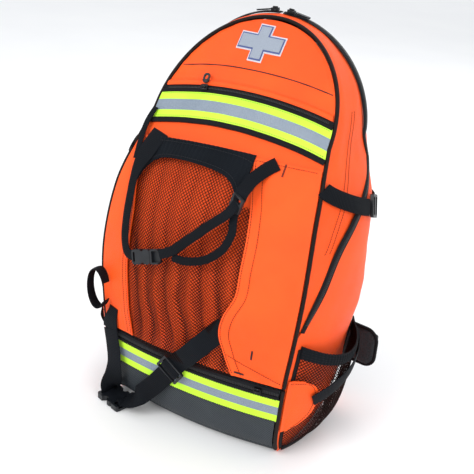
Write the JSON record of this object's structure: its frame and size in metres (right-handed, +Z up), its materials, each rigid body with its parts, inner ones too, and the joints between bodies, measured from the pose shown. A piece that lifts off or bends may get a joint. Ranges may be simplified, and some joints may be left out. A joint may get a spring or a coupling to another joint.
{
  "type": "emergency medical backpack",
  "caption": "Clamshell medical backpack with mesh front pocket, reflective tapes, side bottle pockets, padded harness, zips and side-release buckles.",
  "frame": {"origin": "centre of the flat base", "axes": "+Z up, -Y towards the front lid, +Y towards the wearer's back, +X to the right as seen from the front"},
  "size_m": [0.3978, 0.3201, 0.5701],
  "materials": {
    "orange_fabric": "coated polyester weave, satin",
    "boot_fabric": "coated twill, semi-gloss",
    "mesh": "open polyester mesh",
    "mesh_hem": "dense woven mesh",
    "webbing": "polypropylene webbing, matt",
    "elastic": "knitted elastic, matt",
    "reflective_tape": "fluorescent tape with a silver reflective stripe",
    "zip_tape": "coil zip on woven tape",
    "piping": "bound piping, matt",
    "pad_mesh": "air mesh over foam",
    "lining": "plain nylon lining",
    "patch": "embroidered patch",
    "buckle_plastic": "moulded acetal, matt",
    "slider_metal": "black enamelled zinc",
    "pull_rubber": "moulded soft pull",
    "stiffener": "polyethylene sheet"
  },
  "bodies": {
    "pack": {"base_panel": "boot_fabric", "base_board": "stiffener", "boot_front": "boot_fabric", "lower_tape": "reflective_tape", "side_right": "orange_fabric", "side_left": "orange_fabric", "crown_rear": "orange_fabric", "back_panel": "pad_mesh", "frame_sheet": "stiffener", "back_pad": "pad_mesh", "lumbar_pad": "pad_mesh", "inner_divider": "lining", "main_zip_right": "zip_tape", "main_zip_left": "zip_tape", "bottle_pocket_right": "mesh", "bottle_pocket_left": "mesh", "pocket_hems": "elastic", "corner_tabs": "orange_fabric", "side_webbing": "webbing", "shoulder_strap_right": "pad_mesh", "shoulder_strap_left": "pad_mesh", "shoulder_webbing": "webbing", "shoulder_locks": "buckle_plastic", "base_zip": "zip_tape", "lower_strap": "webbing", "lower_buckle_socket": "buckle_plastic", "lower_slider": "buckle_plastic"},
    "front_lid": {"front_panel": "orange_fabric", "gusset_right": "orange_fabric", "gusset_left": "orange_fabric", "crown_front": "orange_fabric", "front_piping": "piping", "upper_tape": "reflective_tape", "upper_zip": "zip_tape", "medical_patch": "patch", "mesh_panel": "mesh", "mesh_hem": "mesh_hem", "wing_right": "orange_fabric", "wing_left": "orange_fabric", "upper_strap": "webbing", "upper_buckle_socket": "buckle_plastic", "upper_lock": "buckle_plastic", "lower_strap_ends": "webbing", "compression_straps": "webbing"},
    "haul_handle": {"haul_handle": "webbing"},
    "upper_slider": {"upper_zip_slider": "slider_metal"},
    "upper_pull": {"upper_zip_pull": "pull_rubber"},
    "base_slider": {"base_zip_slider": "slider_metal"},
    "main_slider_right": {"main_slider_right": "slider_metal"},
    "main_slider_left": {"main_slider_left": "slider_metal"},
    "upper_tongue": {"upper_buckle_tongue": "buckle_plastic"},
    "lower_tongue": {"lower_buckle_tongue": "buckle_plastic"},
    "sternum_left": {"sternum_webbing_left": "webbing", "sternum_socket": "buckle_plastic"},
    "sternum_right": {"sternum_webbing_right": "webbing"},
    "sternum_tongue": {"sternum_tongue": "buckle_plastic"},
    "hip_right": {"hip_wing_right": "pad_mesh", "hip_belt_right": "webbing"},
    "hip_left": {"hip_wing_left": "pad_mesh", "hip_belt_left": "webbing"}
  },
  "joints": [
    {"name": "lid_fold", "type": "hinge", "parent": "pack", "child": "front_lid", "pos_m": [0, -0.146, 0.118], "axis": [1, 0, 0], "range_deg": [0, 100]},
    {"name": "handle_swing", "type": "hinge", "parent": "pack", "child": "haul_handle", "pos_m": [0, 0.1105, 0.54], "axis": [1, 0, 0], "range_deg": [0, 150]},
    {"name": "upper_zip_run", "type": "hinge", "parent": "front_lid", "child": "upper_slider", "pos_m": [0, -0.012, -0.07013], "axis": [0, 1, 0], "range_deg": [-4, 18]},
    {"name": "upper_pull_swing", "type": "hinge", "parent": "upper_slider", "child": "upper_pull", "pos_m": [-0.06246, -0.01043, 0.47143], "axis": [0.9925, -0.0051, 0.1225], "range_deg": [0, 120]},
    {"name": "base_zip_run", "type": "hinge", "parent": "pack", "child": "base_slider", "pos_m": [0, 0.5017, 0.1105], "axis": [0, 0, 1], "range_deg": [-8, 1.5]},
    {"name": "main_zip_run_right", "type": "hinge", "parent": "pack", "child": "main_slider_right", "pos_m": [0, 0.076, 0.425], "axis": [0, 1, 0], "range_deg": [0, 74]},
    {"name": "main_zip_run_left", "type": "hinge", "parent": "pack", "child": "main_slider_left", "pos_m": [0, 0.076, 0.425], "axis": [0, -1, 0], "range_deg": [0, 74]},
    {"name": "upper_buckle_release", "type": "slide", "parent": "front_lid", "child": "upper_tongue", "axis": [0.9562, -0.0023, 0.2928], "range_m": [0, 0.014]},
    {"name": "lower_buckle_release", "type": "slide", "parent": "pack", "child": "lower_tongue", "axis": [0.9598, -0.2807, 0], "range_m": [0, 0.022]},
    {"name": "sternum_height_left", "type": "slide", "parent": "pack", "child": "sternum_left", "axis": [0, 0, 1], "range_m": [-0.03, 0.025]},
    {"name": "sternum_height_right", "type": "slide", "parent": "pack", "child": "sternum_right", "axis": [0, 0, 1], "range_m": [-0.03, 0.025]},
    {"name": "sternum_release", "type": "slide", "parent": "sternum_right", "child": "sternum_tongue", "axis": [1, 0, 0], "range_m": [0, 0.018]},
    {"name": "hip_fold_right", "type": "hinge", "parent": "pack", "child": "hip_right", "pos_m": [0.114, 0.125, 0.092], "axis": [0, 0, 1], "range_deg": [0, 70]},
    {"name": "hip_fold_left", "type": "hinge", "parent": "pack", "child": "hip_left", "pos_m": [-0.114, 0.125, 0.092], "axis": [0, 0, -1], "range_deg": [0, 70]}
  ],
  "couplings": [
    {"joint": "sternum_height_right", "follows": "sternum_height_left", "ratio": 1}
  ]
}
